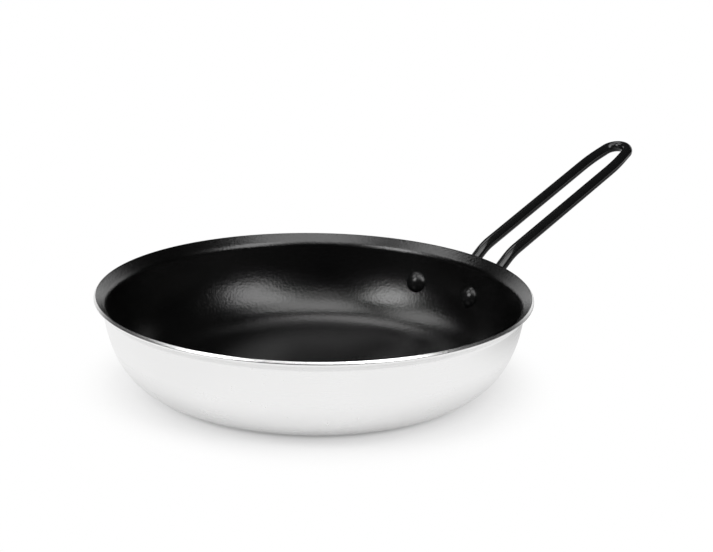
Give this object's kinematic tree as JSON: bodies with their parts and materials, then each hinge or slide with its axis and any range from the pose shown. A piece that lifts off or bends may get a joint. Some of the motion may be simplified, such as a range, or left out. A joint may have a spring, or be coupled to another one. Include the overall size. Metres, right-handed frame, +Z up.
{
  "type": "omelette pan",
  "caption": "Round omelette pan with a flared lip, a black non-stick inside, a polished outside and a long looped rod handle riveted to its wall.",
  "frame": {"origin": "centre of the flat underside, at the level of the surface that the pan stands on", "axes": "+Z up out of the pan, +X from the centre along the handle"},
  "size_m": [0.4126, 0.24, 0.0962],
  "materials": {
    "polished_metal": "polished, with fine round spin lines",
    "nonstick_coat": "satin non-stick coat with a fine grain",
    "black_coated_steel": "glossy black coat",
    "black_rivet": "satin black coat"
  },
  "bodies": {
    "root": {"pan_body": "polished_metal", "nonstick_lining": "nonstick_coat", "handle_bracket": "black_coated_steel", "handle_loop": "black_coated_steel", "rivets": "black_rivet"}
  },
  "joints": []
}
